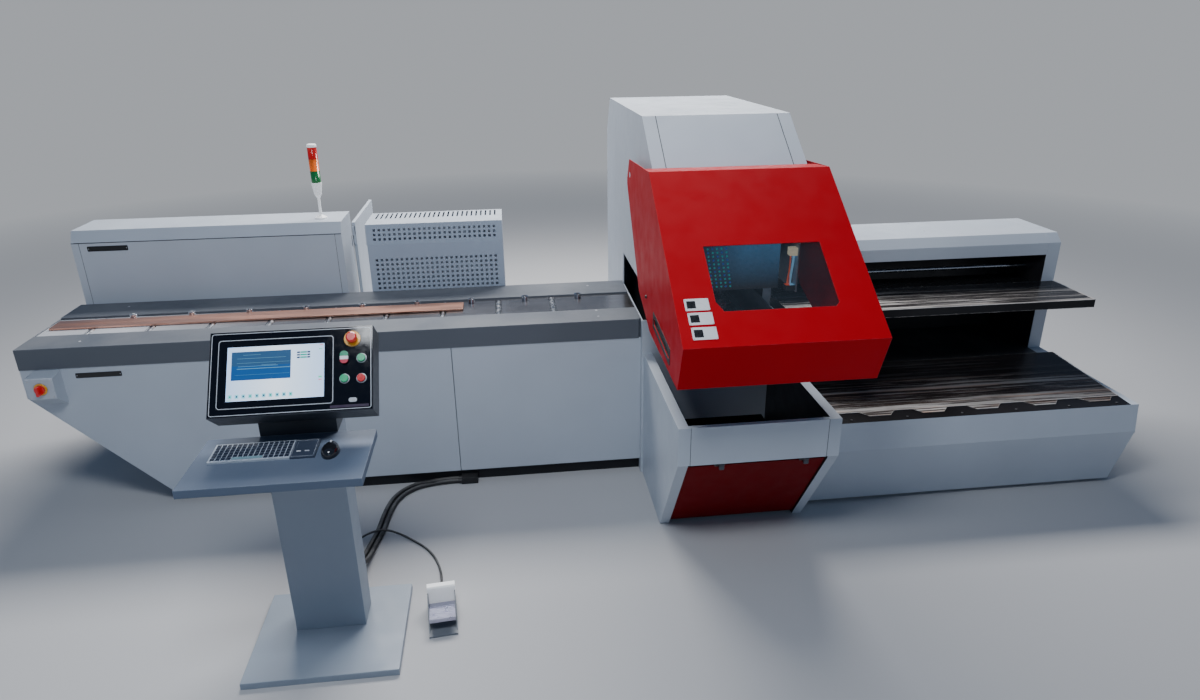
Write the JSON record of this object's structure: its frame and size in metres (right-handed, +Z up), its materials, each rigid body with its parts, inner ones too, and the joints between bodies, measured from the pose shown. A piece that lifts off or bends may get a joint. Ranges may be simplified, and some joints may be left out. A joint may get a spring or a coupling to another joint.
{
  "type": "busbar processing machine",
  "caption": "CNC busbar punching and shearing line: roller infeed, hooded press, scrap collector, outfeed table, rear cabinets and operator console.",
  "frame": {"origin": "on the floor under the middle of the machine's bounding box", "axes": "+X along the line from infeed to outfeed, +Y from the operator's side to the rear, +Z up"},
  "size_m": [5.796, 3.36, 2.005],
  "materials": {
    "light_grey_paint": "satin powder coat",
    "dark_grey_paint": "satin powder coat",
    "red_paint": "satin powder coat",
    "dark_red_paint": "satin powder coat",
    "black_paint": "satin powder coat",
    "machined_steel": "ground",
    "worn_steel": "scratched hot-rolled sheet",
    "chrome_plate": "polished",
    "copper": "drawn copper, dull",
    "window_pane": "tinted clear sheet",
    "lamp_lens": "translucent",
    "black_plastic": "fine texture",
    "grey_plastic": "fine texture",
    "white_plastic": "fine texture",
    "red_plastic": "moulded",
    "green_plastic": "moulded",
    "screen_glass": "lit panel behind clear sheet",
    "cable_rubber": "cable sheath",
    "pedal_metal": "cast, brushed"
  },
  "bodies": {
    "machine": {"infeed_casing": "light_grey_paint", "infeed_front_panels": "light_grey_paint", "infeed_front_rail": "dark_grey_paint", "infeed_rear_rail": "dark_grey_paint", "trough_plates": "machined_steel", "guide_rollers": "chrome_plate", "cross_rollers": "machined_steel", "infeed_plinth": "black_paint", "copper_bar": "copper", "isolator_box": "light_grey_paint", "control_cabinet": "light_grey_paint", "cabinet_lid": "light_grey_paint", "drive_panel": "grey_plastic", "stack_light_pole": "white_plastic", "stack_light_lenses": "lamp_lens", "pump_housing": "light_grey_paint", "pump_grille": "light_grey_paint", "pump_unit": "dark_grey_paint", "press_casing": "light_grey_paint", "press_frame": "dark_grey_paint", "ram_cylinders": "machined_steel", "die_set": "machined_steel", "tool_guard": "black_paint", "air_hoses": "cable_rubber", "collector_box": "light_grey_paint", "scrap_bin": "worn_steel", "outfeed_base": "light_grey_paint", "outfeed_tray": "worn_steel", "outfeed_end_panels": "light_grey_paint", "outfeed_cover": "light_grey_paint", "outfeed_shelf": "worn_steel", "console_base": "light_grey_paint", "console_column": "light_grey_paint", "console_shelf": "dark_grey_paint", "monitor_housing": "black_paint", "monitor_screen": "screen_glass", "keyboard": "grey_plastic", "mouse": "grey_plastic", "foot_switch_base": "grey_plastic", "foot_switch_hood": "white_plastic", "cable_glands": "black_plastic", "cable_left": "cable_rubber", "cable_right": "cable_rubber", "foot_cable": "cable_rubber"},
    "isolator_knob": {"isolator_knob": "red_plastic"},
    "cabinet_door_left": {"cabinet_door_left": "light_grey_paint"},
    "cabinet_door_right": {"cabinet_door_right": "light_grey_paint"},
    "hood": {"hood_shell": "red_paint", "hood_window": "window_pane"},
    "punch_ram_left": {"punch_ram_left": "machined_steel"},
    "punch_ram_right": {"punch_ram_right": "machined_steel"},
    "shear_ram": {"shear_ram": "machined_steel"},
    "scrap_door": {"scrap_door": "dark_red_paint"},
    "outfeed_flap": {"outfeed_flap": "worn_steel"},
    "estop_button": {"estop_button": "red_plastic"},
    "twin_button": {"twin_button": "white_plastic"},
    "green_button_upper": {"green_button_upper": "green_plastic"},
    "green_button_lower": {"green_button_lower": "green_plastic"},
    "red_button": {"red_button": "red_plastic"},
    "foot_pedal": {"foot_pedal": "pedal_metal"}
  },
  "joints": [
    {"name": "isolator_turn", "type": "hinge", "parent": "machine", "child": "isolator_knob", "pos_m": [-2.769, -0.21, 0.7575], "axis": [0, 1, 0], "range_deg": [0, 90]},
    {"name": "left_door_swing", "type": "hinge", "parent": "machine", "child": "cabinet_door_left", "pos_m": [-2.877, 0.933, 0.68], "axis": [0, 0, 1], "range_deg": [0, 110]},
    {"name": "right_door_swing", "type": "hinge", "parent": "machine", "child": "cabinet_door_right", "pos_m": [-1.361, 0.933, 0.68], "axis": [0, 0, 1], "range_deg": [-20, 90]},
    {"name": "hood_tilt", "type": "hinge", "parent": "machine", "child": "hood", "pos_m": [0.6845, 0, 1.7], "axis": [-1, 0, 0], "range_deg": [0, 50]},
    {"name": "left_punch_stroke", "type": "slide", "parent": "machine", "child": "punch_ram_left", "axis": [0, 0, -1], "range_m": [0, 0.04]},
    {"name": "right_punch_stroke", "type": "slide", "parent": "machine", "child": "punch_ram_right", "axis": [0, 0, -1], "range_m": [0, 0.04]},
    {"name": "shear_stroke", "type": "slide", "parent": "machine", "child": "shear_ram", "axis": [0, 0, -1], "range_m": [0, 0.04]},
    {"name": "scrap_door_lift", "type": "hinge", "parent": "machine", "child": "scrap_door", "pos_m": [0.6955, -1.042, 0.541], "axis": [-1, 0, 0], "range_deg": [0, 60]},
    {"name": "flap_tip", "type": "hinge", "parent": "machine", "child": "outfeed_flap", "pos_m": [2, 0.126, 0.945], "axis": [1, 0, 0], "range_deg": [0, 35]},
    {"name": "estop_push", "type": "slide", "parent": "machine", "child": "estop_button", "axis": [0, 0.7912, -0.6115], "range_m": [0, 0.004], "stiffness_N_per_m": 800},
    {"name": "twin_push", "type": "slide", "parent": "machine", "child": "twin_button", "axis": [0, 0.7912, -0.6115], "range_m": [0, 0.004], "stiffness_N_per_m": 500},
    {"name": "green_upper_push", "type": "slide", "parent": "machine", "child": "green_button_upper", "axis": [0, 0.7912, -0.6115], "range_m": [0, 0.004], "stiffness_N_per_m": 500},
    {"name": "green_lower_push", "type": "slide", "parent": "machine", "child": "green_button_lower", "axis": [0, 0.7912, -0.6115], "range_m": [0, 0.004], "stiffness_N_per_m": 500},
    {"name": "red_push", "type": "slide", "parent": "machine", "child": "red_button", "axis": [0, 0.7912, -0.6115], "range_m": [0, 0.004], "stiffness_N_per_m": 500},
    {"name": "pedal_press", "type": "hinge", "parent": "machine", "child": "foot_pedal", "pos_m": [-0.77653, -1.22165, 0.034], "axis": [0.9962, 0.0872, 0], "range_deg": [0, 8], "stiffness_Nm_per_rad": 20, "springref_deg": -2.86}
  ]
}
